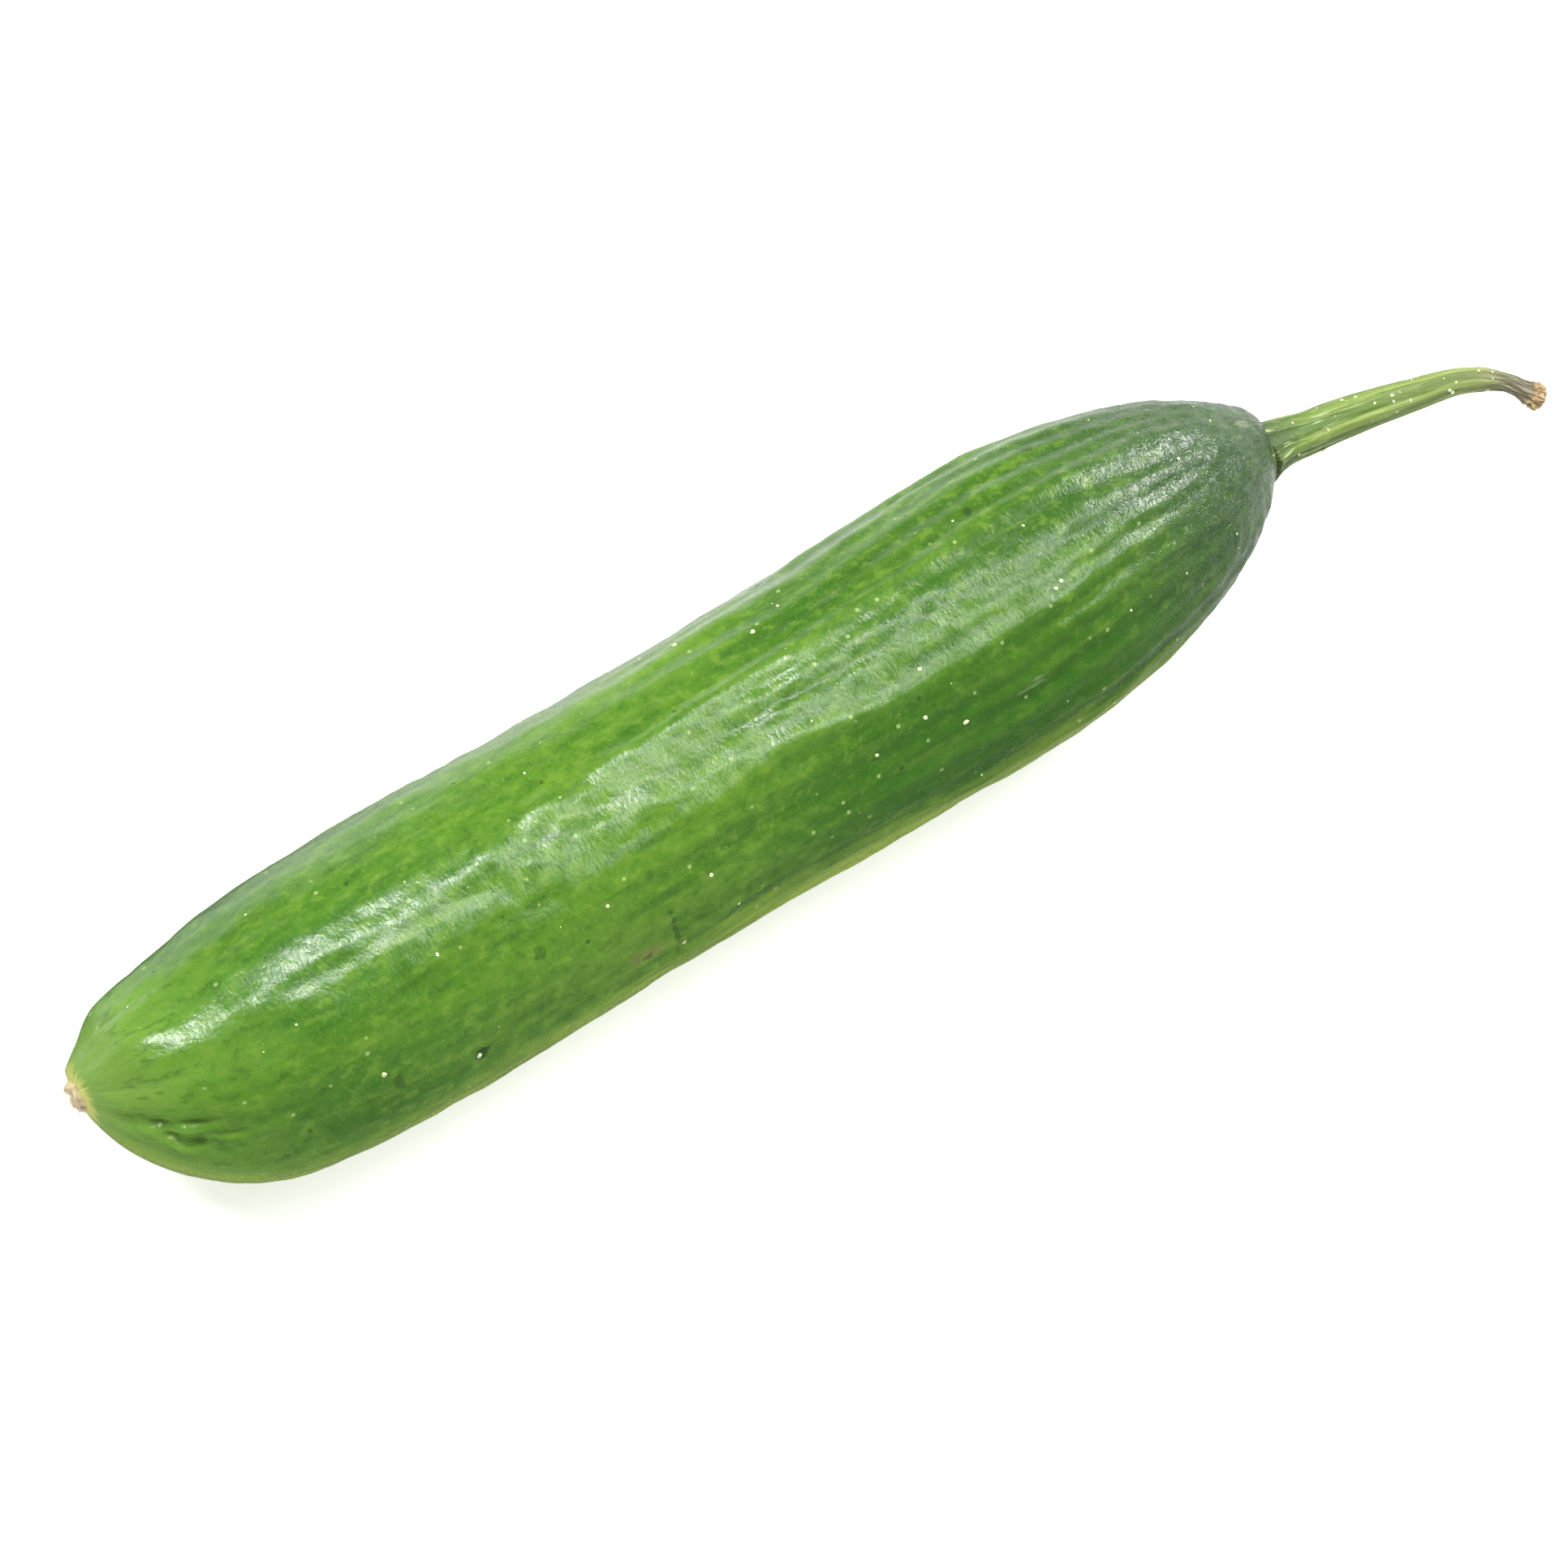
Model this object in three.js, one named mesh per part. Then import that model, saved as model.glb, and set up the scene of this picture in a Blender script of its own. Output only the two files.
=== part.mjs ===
// A small smooth-skinned cucumber, as picked, lying on a flat surface with its cut stem still on it.
// Millimetres, +Z up. The fruit lies along X, blossom end towards -X and stem towards +X.
// The origin is on the resting surface, below the middle of the whole object's box.

import * as THREE from "three";

// Driving dimensions of the fruit.
const FRUIT_LENGTH = 170;
const THICKEST_RADIUS = 18.3;
const REST_FLAT_DEPTH = 0.9; // how far the underside is flattened where it lies
const RIB_COUNT = 10;
const RIB_HEIGHT = 0.3;
const RIB_FADE = 0.7; // below 1 the ribs stay tall for longer towards the two ends
const AROUND = 50; // facets around the fruit, five to a rib
const ALONG = 60; // facets from end to end

// Both ends are rounded noses: how far in each one reaches, how blunt and how full it is (2 and 2 are
// an ellipse), and how much of its very tip is left off for the flat seat of the scar or the stem.
const BLOSSOM_NOSE = { reach: 60, bluntness: 3.8, fullness: 2.4, leftOff: 0.1 };
const STEM_NOSE = { reach: 43, bluntness: 1.6, fullness: 2, leftOff: 1 };
// The fruit is a little slimmer around its middle: where, by what share, and over what length.
const WAIST = { at: 80, share: 0.045, reach: 32 };

// The blossom tip grows off the middle line, away to one side and upwards, all within this reach.
const TIP_SHIFT = { y: 3.8, z: 2.6, reach: 18 };
// The fruit bows sideways by this much at mid length, and its stem end lifts a little.
const SIDE_BOW = 0.5;
const STEM_END_LIFT = { z: 1.6, reach: 50 };

// The gap that separates neighbouring pieces, which all but touch.
const JOINT_GAP = 0.3;

// Driving dimensions of the dry scar that the flower left on the blossom tip.
const SCAR_RADIUS = 2;
const SCAR_HEIGHT = 1.5;
const SCAR_AROUND = 20;
// Its outline in shares of that radius and height: flat back, rounded rim, dimpled middle.
const SCAR_OUTLINE = [
  [0, 0],
  [0.9, 0],
  [1, 0.3],
  [0.85, 0.75],
  [0.55, 1],
  [0.25, 0.75],
  [0, 0.65],
];

// Driving dimensions of the stem.
const STEM_BASE_RADIUS = 3.5;
const STEM_RADIUS = 2.5;
const STEM_TIP_RADIUS = 1.35;
const STEM_FOOT_SHARE = 0.07; // share of the stem's length over which its flared foot dies away
const STEM_TAPER_START = 0.25; // share of the stem's length where it begins to get thinner
const STEM_RIBS = 5;
const STEM_RIB_SHARE = 0.07; // rib height as a share of the stem's radius
const STEM_AROUND = 20;
const STEM_ALONG = 30;

// The line the stem follows from the fruit: straight out, gently up and to one side, then over and down.
const STEM_STEPS = [
  [0, -0.4, -0.3],
  [1.5, -0.4, -0.3],
  [4.8, -1.1, -0.9],
  [8.7, -2.1, -1],
  [19, -5.2, -0.1],
  [24.8, -7.5, 0.5],
  [29, -10.4, 0.2],
  [32, -14, -1.3],
];

// Height of the fruit's middle line above the surface it lies on.
const LYING_HEIGHT = THICKEST_RADIUS + RIB_HEIGHT - REST_FLAT_DEPTH;

const smooth = (t) => THREE.MathUtils.smoothstep(t, 0, 1);

// Share of the full radius at a distance in from the seat on a nose.
function noseShare(distance, nose) {
  const inward = Math.min((distance + nose.leftOff) / nose.reach, 1);
  return (1 - (1 - inward) ** nose.bluntness) ** (1 / nose.fullness);
}

// Radius of the fruit at x from the blossom tip.
function fruitRadius(x) {
  const waist = 1 - WAIST.share * Math.exp(-(((x - WAIST.at) / WAIST.reach) ** 2));
  return THICKEST_RADIUS * waist * noseShare(x, BLOSSOM_NOSE) * noseShare(FRUIT_LENGTH - x, STEM_NOSE);
}

// Where the middle line of the fruit is, at x from the blossom tip.
function fruitMiddle(x) {
  const fromTip = Math.max(1 - x / TIP_SHIFT.reach, 0) ** 2;
  const toStem = smooth((x - FRUIT_LENGTH + STEM_END_LIFT.reach) / STEM_END_LIFT.reach);
  return {
    y: TIP_SHIFT.y * fromTip - SIDE_BOW * Math.sin((Math.PI * x) / FRUIT_LENGTH),
    z: TIP_SHIFT.z * fromTip + STEM_END_LIFT.z * toStem,
  };
}

// A turned profile along X, given ribs that fade out at both ends, moved onto the bowed middle line
// and flattened underneath where it lies. The rings stand closer together towards the ends.
function fruitGeometry() {
  const profile = [new THREE.Vector2(0, 0)];
  for (let ring = 0; ring <= ALONG; ring++) {
    const x = (FRUIT_LENGTH * (1 - Math.cos((Math.PI * ring) / ALONG))) / 2;
    profile.push(new THREE.Vector2(fruitRadius(x), x));
  }
  profile.push(new THREE.Vector2(0, FRUIT_LENGTH));
  const geometry = new THREE.LatheGeometry(profile, AROUND);
  geometry.rotateZ(-Math.PI / 2);

  const place = geometry.getAttribute("position");
  for (let i = 0; i < place.count; i++) {
    const x = place.getX(i);
    const radius = Math.hypot(place.getY(i), place.getZ(i));
    const angle = Math.atan2(place.getZ(i), place.getY(i));
    const fade = Math.max(Math.sin((Math.PI * x) / FRUIT_LENGTH), 0) ** RIB_FADE;
    const ribbed = radius + RIB_HEIGHT * fade * Math.cos(RIB_COUNT * (angle + Math.PI / 2));
    const middle = fruitMiddle(x);
    const y = middle.y + ribbed * Math.cos(angle);
    const z = middle.z + LYING_HEIGHT + ribbed * Math.sin(angle);
    place.setXYZ(i, x, y, Math.max(z, 0));
  }
  geometry.computeVertexNormals();
  return geometry;
}

// A small turned button with a dimpled face, standing on the blossom tip and facing -X.
function scarGeometry() {
  const profile = SCAR_OUTLINE.map(
    ([across, out]) => new THREE.Vector2(across * SCAR_RADIUS, out * SCAR_HEIGHT),
  );
  const geometry = new THREE.LatheGeometry(profile, SCAR_AROUND);
  geometry.rotateZ(Math.PI / 2);
  const tip = fruitMiddle(0);
  geometry.translate(-JOINT_GAP, tip.y, tip.z + LYING_HEIGHT);
  return geometry;
}

// The stem's line, from just outside the fruit's end.
function stemPath() {
  const root = fruitMiddle(FRUIT_LENGTH);
  const from = new THREE.Vector3(FRUIT_LENGTH + JOINT_GAP, root.y, root.z + LYING_HEIGHT);
  return new THREE.CatmullRomCurve3(STEM_STEPS.map((step) => new THREE.Vector3(...step).add(from)));
}

// Radius of the stem: a flared foot, a slow taper, and a shrunken dry end.
function stemRadius(share) {
  const foot = (STEM_BASE_RADIUS - STEM_RADIUS) * Math.exp(-share / STEM_FOOT_SHARE);
  const thinning = smooth((share - STEM_TAPER_START) / (1 - STEM_TAPER_START));
  return foot + THREE.MathUtils.lerp(STEM_RADIUS, STEM_TIP_RADIUS, thinning);
}

// A cylinder whose rings are set out along the path, with low ribs.
function stemGeometry() {
  const path = stemPath();
  const frames = path.computeFrenetFrames(STEM_ALONG);
  const geometry = new THREE.CylinderGeometry(1, 1, 1, STEM_AROUND, STEM_ALONG);
  const place = geometry.getAttribute("position");
  for (let i = 0; i < place.count; i++) {
    const ring = Math.round((place.getY(i) + 0.5) * STEM_ALONG);
    const share = ring / STEM_ALONG;
    const across = place.getX(i);
    const up = place.getZ(i);
    const outward = Math.hypot(across, up);
    const rib = 1 + STEM_RIB_SHARE * Math.cos(STEM_RIBS * Math.atan2(up, across)) * outward;
    const reach = rib * stemRadius(share);
    const point = path
      .getPointAt(share)
      .addScaledVector(frames.normals[ring], across * reach)
      .addScaledVector(frames.binormals[ring], -up * reach);
    place.setXYZ(i, point.x, point.y, point.z);
  }
  geometry.computeVertexNormals();
  return geometry;
}

const skinGreen = new THREE.MeshStandardMaterial({ color: "#4f8a34", roughness: 0.38, metalness: 0 });
const scarBeige = new THREE.MeshStandardMaterial({ color: "#c9bd8a", roughness: 0.85, metalness: 0 });
const stemGreen = new THREE.MeshStandardMaterial({ color: "#8ea35c", roughness: 0.6, metalness: 0 });

const fruit = new THREE.Mesh(fruitGeometry(), skinGreen);
fruit.name = "fruit";

const blossomScar = new THREE.Mesh(scarGeometry(), scarBeige);
blossomScar.name = "blossom_scar";

const stem = new THREE.Mesh(stemGeometry(), stemGreen);
stem.name = "stem";

// The pieces are made with the blossom tip at x = 0, and then stood over the origin.
const laid = new THREE.Group();
laid.add(fruit, blossomScar, stem);
const size = new THREE.Box3().setFromObject(laid, true);
const centre = size.getCenter(new THREE.Vector3());
laid.position.set(-centre.x, -centre.y, -size.min.z);

const cucumber = new THREE.Group();
cucumber.add(laid);

export default cucumber;
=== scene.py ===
"""A short smooth-skinned cucumber on a pale floor: ribbed fruit, dry blossom scar, and curling stem."""

import math

import bpy
import numpy as np
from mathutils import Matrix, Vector


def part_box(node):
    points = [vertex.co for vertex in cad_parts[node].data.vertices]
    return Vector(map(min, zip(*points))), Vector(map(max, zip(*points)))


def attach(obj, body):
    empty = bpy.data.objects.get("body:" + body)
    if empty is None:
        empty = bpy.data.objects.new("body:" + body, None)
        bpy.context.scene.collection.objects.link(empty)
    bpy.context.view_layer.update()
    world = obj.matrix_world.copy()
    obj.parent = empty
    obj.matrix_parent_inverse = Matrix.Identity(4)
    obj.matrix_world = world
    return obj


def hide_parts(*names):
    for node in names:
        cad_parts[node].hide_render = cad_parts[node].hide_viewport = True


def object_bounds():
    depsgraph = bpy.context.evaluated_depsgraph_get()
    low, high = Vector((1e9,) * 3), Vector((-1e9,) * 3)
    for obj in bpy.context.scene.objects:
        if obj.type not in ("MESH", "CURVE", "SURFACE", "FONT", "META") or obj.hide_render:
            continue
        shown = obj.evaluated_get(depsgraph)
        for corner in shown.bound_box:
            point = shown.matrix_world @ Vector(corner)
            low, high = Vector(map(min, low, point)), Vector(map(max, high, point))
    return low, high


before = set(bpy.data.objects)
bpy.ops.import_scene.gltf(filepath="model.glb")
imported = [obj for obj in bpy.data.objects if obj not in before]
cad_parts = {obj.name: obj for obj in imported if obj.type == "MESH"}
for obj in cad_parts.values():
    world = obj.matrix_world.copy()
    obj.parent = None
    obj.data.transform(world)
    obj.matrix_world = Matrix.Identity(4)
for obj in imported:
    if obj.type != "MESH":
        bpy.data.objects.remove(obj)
cad_box = [list(corner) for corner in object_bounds()]

# Shapes are worked out in millimetres and turned into metres when a mesh is made.
MM = 0.001

# ---------------------------------------------------------------- sizes taken from the frame

fruit_low, fruit_high = (np.array(corner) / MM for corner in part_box("fruit"))
scar_low, scar_high = (np.array(corner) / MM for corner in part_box("blossom_scar"))
stem_low, _ = (np.array(corner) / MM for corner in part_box("stem"))

LENGTH = fruit_high[0] - fruit_low[0]
BLOSSOM_X = fruit_low[0]
SCAR_MIDDLE = (scar_low + scar_high) / 2

# The fruit's own proportions: its thickest radius, its two rounded noses and its slimmer waist.
RADIUS = 18.3
BLOSSOM_NOSE = dict(reach=60.0, bluntness=3.8, fullness=2.4, left_off=0.1)
STEM_NOSE = dict(reach=43.0, bluntness=1.6, fullness=2.0, left_off=1.2)
WAIST = dict(at=80.0, share=0.045, reach=32.0)
TIP_SHIFT = dict(y=3.8, z=2.6, reach=18.0)
TIP_DRAWN = dict(x=0.9, y=1.0, reach=2.6)
TIP_NECK = dict(share=0.16, at=1.6, reach=2.4, angle=40)
END_TILT = dict(x=0.8, reach=5.0, angle=25)
END_DRAWN_IN = dict(x=1.2, reach=12.0)
SIDE_BOW = 0.5
STEM_END_LIFT = dict(z=1.6, reach=50.0)
# Below this height the underside is eased level with the floor.
EASED_BELOW = 0.4
# The painted shade along the near side, a darker band where the light from above falls least: its angle and
# half width, where it starts and over what length, and how far from the stem end it dies away.
PAINTED_SIDE_SHADE = dict(angle=158, half_width=0.5, start=78, run_in=25, stop=12, run_out=30)

LINE_Y = SCAR_MIDDLE[1] - TIP_SHIFT["y"]
LINE_Z = SCAR_MIDDLE[2] - TIP_SHIFT["z"]

# ---------------------------------------------------------------- numbers and noise


def smooth(t):
    """Rises from 0 to 1 while t does, level at both ends."""
    t = np.clip(t, 0, 1)
    return t * t * (3 - 2 * t)


def noise(x, y, z, seed):
    """Smooth random field of about -1 to 1: a random slope at each whole point, blended in between."""
    rng = np.random.default_rng(seed)
    order = rng.permutation(256)
    slopes = rng.normal(size=(256, 3))
    slopes /= np.linalg.norm(slopes, axis=1, keepdims=True)
    points = np.stack(np.broadcast_arrays(x, y, z), -1)
    cell = np.floor(points).astype(int)
    part = points - cell
    ease = part**3 * (part * (part * 6 - 15) + 10)
    total = np.zeros(points.shape[:-1])
    for corner in np.ndindex(2, 2, 2):
        key = cell + corner
        pick = order[key[..., 0] % 256]
        pick = order[(pick + key[..., 1]) % 256]
        pick = order[(pick + key[..., 2]) % 256]
        height = (slopes[pick] * (part - corner)).sum(-1)
        total += height * np.where(corner, ease, 1 - ease).prod(-1)
    return total * 1.6


def skin_noise(x, angle, along, across, seed):
    """Noise on the skin, with no seam: x in steps of along, and round the fruit in steps of across."""
    turn = RADIUS / across
    return noise(x / along, np.cos(angle) * turn, np.sin(angle) * turn, seed)


def turned_from(angle, degrees):
    """How far round the fruit an angle is from one given in degrees: -pi to pi."""
    return (angle - math.radians(degrees) + math.pi) % (2 * math.pi) - math.pi


def around_once(count):
    """Angles once round, as a row, evenly spaced from 0."""
    return (np.arange(count) * 2 * math.pi / count)[None, :]


# ---------------------------------------------------------------- meshes


def tube(name, rings, ends):
    """A closed skin over a grid of rings: each ring is joined to the next and round on itself, and the
    first and last rings are closed to one point each. It gets a flat map of ring by angle."""
    rows, columns = rings.shape[:2]
    points = np.concatenate([rings.reshape(-1, 3), np.array(ends).reshape(2, 3)])
    row, column = np.meshgrid(np.arange(rows - 1), np.arange(columns), indexing="ij")
    beside = (column + 1) % columns
    corners = [row * columns + column, row * columns + beside]
    corners += [(row + 1) * columns + beside, (row + 1) * columns + column]
    quads = np.stack(corners, -1).reshape(-1, 4)
    around = np.arange(columns)
    after = (around + 1) % columns
    last = (rows - 1) * columns
    first_cap = np.stack([np.full(columns, rows * columns), after, around], -1)
    last_cap = np.stack([np.full(columns, rows * columns + 1), last + around, last + after], -1)

    step_u = 1 / columns
    step_v = 1 / (rows + 1)
    u = column * step_u
    v = (row + 1) * step_v
    quad_map = np.stack([u, v, u + step_u, v, u + step_u, v + step_v, u, v + step_v], -1)
    low = around * step_u
    middle, high, level = low + step_u / 2, low + step_u, low * 0
    first_map = np.stack([middle, level, high, level + step_v, low, level + step_v], -1)
    top = 1 - step_v
    last_map = np.stack([middle, level + 1, low, level + top, high, level + top], -1)

    loops = np.concatenate([quads.ravel(), first_cap.ravel(), last_cap.ravel()])
    sides = np.concatenate([np.full(len(quads), 4), np.full(2 * columns, 3)])
    flat = np.concatenate([quad_map.ravel(), first_map.ravel(), last_map.ravel()])
    return finished_mesh(name, points, loops, sides, flat)


def finished_mesh(name, points, loops, sides, flat=None):
    """An object at the origin, in metres, from its points, the corners of its faces, and its flat map."""
    starts = np.concatenate([[0], np.cumsum(sides)[:-1]])
    mesh = bpy.data.meshes.new(name)
    mesh.vertices.add(len(points))
    mesh.vertices.foreach_set("co", (points * MM).astype(np.float32).ravel())
    mesh.loops.add(len(loops))
    mesh.loops.foreach_set("vertex_index", loops.astype(np.int32))
    mesh.polygons.add(len(sides))
    mesh.polygons.foreach_set("loop_start", starts.astype(np.int32))
    mesh.polygons.foreach_set("use_smooth", np.ones(len(sides), bool))
    if flat is not None:
        layer = mesh.uv_layers.new(name="OFBake")
        layer.uv.foreach_set("vector", flat.astype(np.float32))
    mesh.update(calc_edges=True)
    mesh.validate()
    piece = bpy.data.objects.new(name, mesh)
    bpy.context.scene.collection.objects.link(piece)
    return piece


def with_ends(grid, shape, first, last):
    """One value for each point of a tube: those of its grid of rings, then those of its two end points."""
    return np.concatenate([np.broadcast_to(grid, shape).ravel(), [first, last]])


def give(piece, name, values):
    """Stores one number, or one three-number place, for each point of the piece."""
    values = np.asarray(values, np.float32)
    kind, field = ("FLOAT", "value") if values.ndim == 1 else ("FLOAT_VECTOR", "vector")
    attribute = piece.data.attributes.new(name, kind, "POINT")
    attribute.data.foreach_set(field, values.ravel())


# ---------------------------------------------------------------- the fruit

RINGS = 300
AROUND = 300
RIDGE_SPAN = 0.9  # from the deepest valley to the tallest ridge, as the ridge attribute counts them

# Dents and swellings in the skin: distance from the blossom tip, angle round the fruit, half length,
# half width, and height. The angle is 90 on top and 180 on the near side, and a dent's height is below 0.
BUMPS = [
    (2.0, 150, 0.7, 0.9, -0.8),
    (3.2, 158, 0.8, 0.9, 0.6),
    (4.2, 147, 1.0, 0.7, -1.0),
    (5.0, 156, 0.8, 0.7, -0.9),
    (5.6, 164, 1.0, 1.0, 0.7),
    (6.4, 150, 1.0, 0.8, 0.5),
    (7.2, 157, 1.0, 0.7, -0.9),
    (7.8, 144, 2.2, 0.55, -0.7),
    (9.2, 163, 1.2, 0.8, -0.6),
    (10.4, 152, 2.6, 0.5, -0.5),
    (13.5, 148, 4.5, 0.7, -0.22),
    (4.6, 120, 2.6, 1.1, -0.25),
    (7.0, 62, 4.0, 1.2, -0.3),
    (9.5, 240, 3.0, 1.2, -0.3),
    (15.0, 300, 4.0, 1.6, -0.25),
    (47.0, 108, 4.5, 1.6, -0.3),
    (52.0, 98, 2.6, 1.6, 0.28),
    (57.5, 104, 3.0, 1.5, -0.35),
    (61.0, 92, 3.4, 1.8, 0.3),
    (66.5, 101, 2.8, 1.3, -0.3),
    (72.0, 112, 5.0, 1.5, 0.25),
    (78.0, 126, 5.5, 1.8, 0.25),
    (83.0, 100, 4.0, 1.3, -0.28),
    (92.0, 118, 6.0, 1.4, 0.25),
    (99.0, 96, 5.0, 1.4, 0.25),
    (108.0, 88, 4.0, 1.2, -0.3),
    (113.0, 132, 5.0, 1.5, 0.3),
    (119.0, 78, 2.6, 1.0, -0.35),
    (126.0, 104, 6.0, 1.5, 0.28),
    (69.4, 169, 0.8, 3.0, -0.18),
    (102.0, 36, 1.4, 0.7, -0.35),
    (88.0, 305, 6.0, 2.0, -0.3),
    (118.0, 20, 7.0, 2.0, 0.25),
    (55.0, 345, 6.0, 2.0, -0.25),
]


def nose_share(distance, nose):
    """Share of the full radius at a distance in from a nose's seat: a rounded end, blunter than a ball."""
    inward = np.minimum((distance + nose["left_off"]) / nose["reach"], 1)
    return (1 - (1 - inward) ** nose["bluntness"]) ** (1 / nose["fullness"])


def plain_radius(x):
    """Radius of the fruit with no ribs: both noses and the waist take their share of the thickest radius."""
    waist = 1 - WAIST["share"] * np.exp(-(((x - WAIST["at"]) / WAIST["reach"]) ** 2))
    return RADIUS * waist * nose_share(x, BLOSSOM_NOSE) * nose_share(LENGTH - x, STEM_NOSE)


def middle_line(x):
    """Middle of the fruit at x from the blossom tip: shifted at the tip, bowed, and lifted at the stem."""
    from_tip = np.maximum(1 - x / TIP_SHIFT["reach"], 0) ** 2
    lift = smooth((x - LENGTH + STEM_END_LIFT["reach"]) / STEM_END_LIFT["reach"])
    y = LINE_Y + TIP_SHIFT["y"] * from_tip - SIDE_BOW * np.sin(math.pi * x / LENGTH)
    z = LINE_Z + TIP_SHIFT["z"] * from_tip + STEM_END_LIFT["z"] * lift
    return np.stack([BLOSSOM_X + x, y, z], -1)


def rib_height(x, angle):
    """Ten soft ribs that wander, close narrow ridges that come and go over them, and creases where a noise
    stretched along the fruit crosses zero, rounded by a square root. All are taller in the stem half."""
    wander = 0.12 * skin_noise(x, angle, 45, 22, 11) + 0.05 * skin_noise(x, angle, 14, 9, 12)
    wander = wander + 0.018 * skin_noise(x, angle, 5, 5, 15)
    turned = angle + wander
    broad = np.cos(10 * (turned + math.pi / 2))
    phase = 1.6 * skin_noise(x, angle, 70, 10, 16)
    share = 0.55 + 0.75 * skin_noise(x, angle, 38, 9, 17)
    close = np.cos(29 * turned + phase) * np.clip(share, 0, 1)
    uneven = skin_noise(x, turned, 55, 3.4, 13)
    valley = 1 - np.sqrt(uneven**2 + 0.12)
    taller = 0.16 + 0.90 * smooth((x - 52) / 45)
    ends = smooth(x / 22) * smooth((LENGTH - x) / 26)
    return (0.15 * broad + 0.19 * close + 0.38 * uneven - 0.34 * valley + 0.22) * taller * ends


def lump_height(x, angle):
    """Low lumps longer than they are wide, and the dents and swellings of BUMPS."""
    ends = smooth(x / 10) * smooth((LENGTH - x) / 8)
    uneven = 1 + 0.5 * np.exp(-(((x - 66) / 20) ** 2))
    height = 0.30 * skin_noise(x, angle, 14, 8, 21) + 0.15 * uneven * skin_noise(x, angle, 5.5, 3.4, 22)
    height = height + 0.06 * skin_noise(x, angle, 1.7, 2.4, 23)
    height = height * ends
    for at, degrees, long, wide, rise in BUMPS:
        turned = turned_from(angle, degrees)
        reach = plain_radius(np.array(at))
        height = height + rise * np.exp(-(((x - at) / long) ** 2) - (reach * turned / wide) ** 2)
    return height


def end_height(x, angle):
    """Folds drawn in to the blossom tip, and shallow wrinkles with a low lip round the stem's seat."""
    tip = np.exp(-((x / 7) ** 2)) * smooth(x / 2.5)
    folds = np.cos(11 * angle + 2.2 * skin_noise(x, angle, 12, 9, 31)) * 0.12 * tip
    from_stem = LENGTH - x
    shoulder = smooth(1 - from_stem / 34) * smooth(from_stem / 2)
    turn = RADIUS * np.sqrt(np.clip(from_stem / 40, 0.03, 1))
    crackle = noise(x / 1.9, np.cos(angle) * turn / 2.4, np.sin(angle) * turn / 2.4, 32)
    creases = -np.abs(noise(x / 4.2, np.cos(angle) * turn / 3, np.sin(angle) * turn / 3, 33))
    lip = 0.16 * np.exp(-(((from_stem - 1.3) / 0.7) ** 2)) * (0.7 + 0.3 * np.cos(7 * angle))
    return folds + shoulder * (0.11 * crackle + 0.36 * creases) + lip


def skin_points(x, angle, with_height=True):
    """Points of the skin: a round section on the middle line, pushed out along its own outward way by
    the ribs, lumps and end folds, and with the tip drawn out a little to meet the blossom scar."""
    radius = plain_radius(x)
    slope = (plain_radius(np.minimum(x + 0.02, LENGTH)) - plain_radius(np.maximum(x - 0.02, 0))) / 0.04
    lean = np.arctan(slope)
    neck = TIP_NECK["share"] * np.exp(-(((x - TIP_NECK["at"]) / TIP_NECK["reach"]) ** 2))
    cut_in = neck * (0.5 + 0.5 * np.cos(angle - math.radians(TIP_NECK["angle"])))
    radius = radius * (1 - cut_in * smooth(x / 0.8))
    height = 0
    if with_height:
        height = rib_height(x, angle) + lump_height(x, angle) + end_height(x, angle)
    points = middle_line(x) + np.zeros(np.broadcast(x, angle).shape + (3,))
    points[..., 0] -= height * np.sin(lean) + TIP_DRAWN["x"] * np.exp(-x / TIP_DRAWN["reach"])
    points[..., 0] -= END_DRAWN_IN["x"] * np.exp((x - LENGTH) / END_DRAWN_IN["reach"])
    tilt = END_TILT["x"] * np.exp((x - LENGTH) / END_TILT["reach"])
    points[..., 0] += tilt * np.cos(angle - math.radians(END_TILT["angle"]))
    points[..., 1] += (radius + height * np.cos(lean)) * np.cos(angle)
    points[..., 1] += TIP_DRAWN["y"] * np.exp(-x / TIP_DRAWN["reach"])
    points[..., 2] += (radius + height * np.cos(lean)) * np.sin(angle)
    sunk = points[..., 2]
    eased = EASED_BELOW * np.exp((np.minimum(sunk, EASED_BELOW) - EASED_BELOW) / EASED_BELOW)
    points[..., 2] = np.where(sunk < EASED_BELOW, eased, sunk)
    return points


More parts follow.
